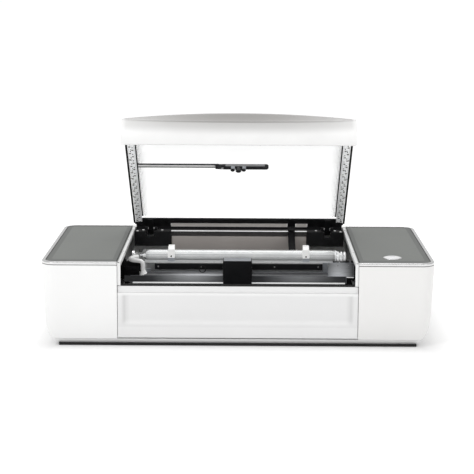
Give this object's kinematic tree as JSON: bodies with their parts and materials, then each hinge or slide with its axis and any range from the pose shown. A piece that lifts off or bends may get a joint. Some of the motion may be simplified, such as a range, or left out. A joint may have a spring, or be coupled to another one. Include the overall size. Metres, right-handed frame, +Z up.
{
  "type": "desktop laser cutter",
  "caption": "White desktop laser cutter with rounded side pods, a raised glass lid with a camera, a drop-down front door and a gantry with a glass laser tube.",
  "frame": {"origin": "under the middle of the object's box, on the surface that it stands on", "axes": "+X to the right along the case, +Y to the back where the exhaust collar points, +Z up"},
  "size_m": [0.965, 0.547, 0.5625],
  "materials": {
    "white_shell": "satin moulded white",
    "white_trim": "satin moulded white",
    "chrome_trim": "polished",
    "top_glass": "back-painted grey glass, polished",
    "black_sheet": "fine textured black powder coat",
    "warm_grey_sheet": "satin",
    "grey_sheet": "satin blue-grey",
    "black_plastic": "moulded black, fine grain",
    "aluminium": "brushed, clear anodised",
    "steel": "brushed",
    "clear_glass": "clear, polished",
    "white_hose": "smooth silicone",
    "black_rubber": "matte",
    "led_board": "white coated circuit board",
    "green_board": "coated circuit board",
    "lens_black": "polished",
    "button_white": "polished",
    "tank_plastic": "translucent moulded"
  },
  "bodies": {
    "chassis": {"base_pan": "white_shell", "left_pod_shell": "white_shell", "right_pod_shell": "white_shell", "rear_cover": "white_shell", "pod_bezels": "chrome_trim", "pod_glasses": "top_glass", "bay_trims": "white_trim", "bay_walls": "black_sheet", "bay_floor": "black_sheet", "rear_plenum": "black_sheet", "rear_deflector": "warm_grey_sheet", "hinge_covers": "black_sheet", "exhaust_collar": "black_plastic", "exhaust_fan_frame": "black_plastic", "power_inlet": "black_plastic", "power_switch_frame": "black_plastic", "feet": "black_rubber", "y_rails": "steel", "y_belts": "black_rubber", "y_motors": "steel", "tray_frame": "aluminium", "honeycomb_bed": "aluminium", "power_supply": "aluminium", "control_board": "green_board", "coolant_tank": "tank_plastic", "coolant_pump": "black_plastic", "radiator": "aluminium", "hinge_pins": "steel", "start_button_ring": "chrome_trim", "cover_screws": "steel"},
    "lid": {"lid_glass": "clear_glass", "lid_frame": "black_sheet", "lid_hinge_arms": "black_sheet", "lid_visor": "white_shell", "led_strips": "led_board", "camera_arm": "white_trim", "camera_housing": "black_plastic", "camera_lens": "lens_black"},
    "door": {"door_panel": "white_shell", "door_liner": "black_sheet", "door_seal": "black_rubber"},
    "gantry": {"gantry_beam": "aluminium", "gantry_apron": "grey_sheet", "x_rail": "steel", "laser_tube": "clear_glass", "tube_clamps": "white_trim", "gantry_trucks": "black_sheet", "coolant_hose": "white_hose", "x_motor": "black_sheet", "x_belt": "black_rubber", "umbilical": "black_rubber"},
    "carriage": {"carriage_plate": "black_sheet", "laser_head": "black_plastic"},
    "focus_carrier": {"lens_carrier": "aluminium"},
    "fan_rotor": {"exhaust_rotor": "black_plastic"},
    "switch_rocker": {"power_rocker": "black_plastic"},
    "button": {"start_button": "button_white"},
    "drive_shafts": {"y_drive_pulleys": "aluminium"},
    "idler_shafts": {"y_idler_pulleys": "aluminium"},
    "carriage_pulley": {"x_drive_pulley": "aluminium"}
  },
  "joints": [
    {"name": "lid_hinge", "type": "hinge", "parent": "chassis", "child": "lid", "pos_m": [0, 0.2265, 0.2036], "axis": [1, 0, 0], "range_deg": [0, 42.3]},
    {"name": "door_hinge", "type": "hinge", "parent": "chassis", "child": "door", "pos_m": [0, -0.27, 0.0225], "axis": [1, 0, 0], "range_deg": [0, 90]},
    {"name": "gantry_slide", "type": "slide", "parent": "chassis", "child": "gantry", "axis": [0, 1, 0], "range_m": [-0.205, 0.05], "deforming": ["umbilical"]},
    {"name": "carriage_slide", "type": "slide", "parent": "gantry", "child": "carriage", "axis": [1, 0, 0], "range_m": [-0.205, 0.24]},
    {"name": "lens_focus", "type": "slide", "parent": "carriage", "child": "focus_carrier", "axis": [0, 0, 1], "range_m": [-0.004, 0.004]},
    {"name": "fan_spin", "type": "hinge", "parent": "chassis", "child": "fan_rotor", "pos_m": [0.11, 0.2215, 0.1], "axis": [0, 1, 0], "continuous": true},
    {"name": "switch_rock", "type": "hinge", "parent": "chassis", "child": "switch_rocker", "pos_m": [0.4, 0.2495, 0.1], "axis": [1, 0, 0], "range_deg": [-8, 8]},
    {"name": "start_press", "type": "slide", "parent": "chassis", "child": "button", "axis": [0, 0, 1], "range_m": [-0.002, 0], "stiffness_N_per_m": 1200},
    {"name": "y_drive_spin", "type": "hinge", "parent": "chassis", "child": "drive_shafts", "pos_m": [0, 0.1815, 0.08], "axis": [1, 0, 0], "continuous": true},
    {"name": "y_idler_spin", "type": "hinge", "parent": "chassis", "child": "idler_shafts", "pos_m": [0, -0.2285, 0.08], "axis": [1, 0, 0], "continuous": true},
    {"name": "x_drive_spin", "type": "hinge", "parent": "gantry", "child": "carriage_pulley", "pos_m": [0.2605, 0.013, 0.1015], "axis": [0, 1, 0], "continuous": true}
  ],
  "couplings": [
    {"joint": "y_drive_spin", "follows": "gantry_slide", "rad_per_m": -142.86},
    {"joint": "y_idler_spin", "follows": "gantry_slide", "rad_per_m": -142.86},
    {"joint": "x_drive_spin", "follows": "carriage_slide", "rad_per_m": -142.86}
  ]
}
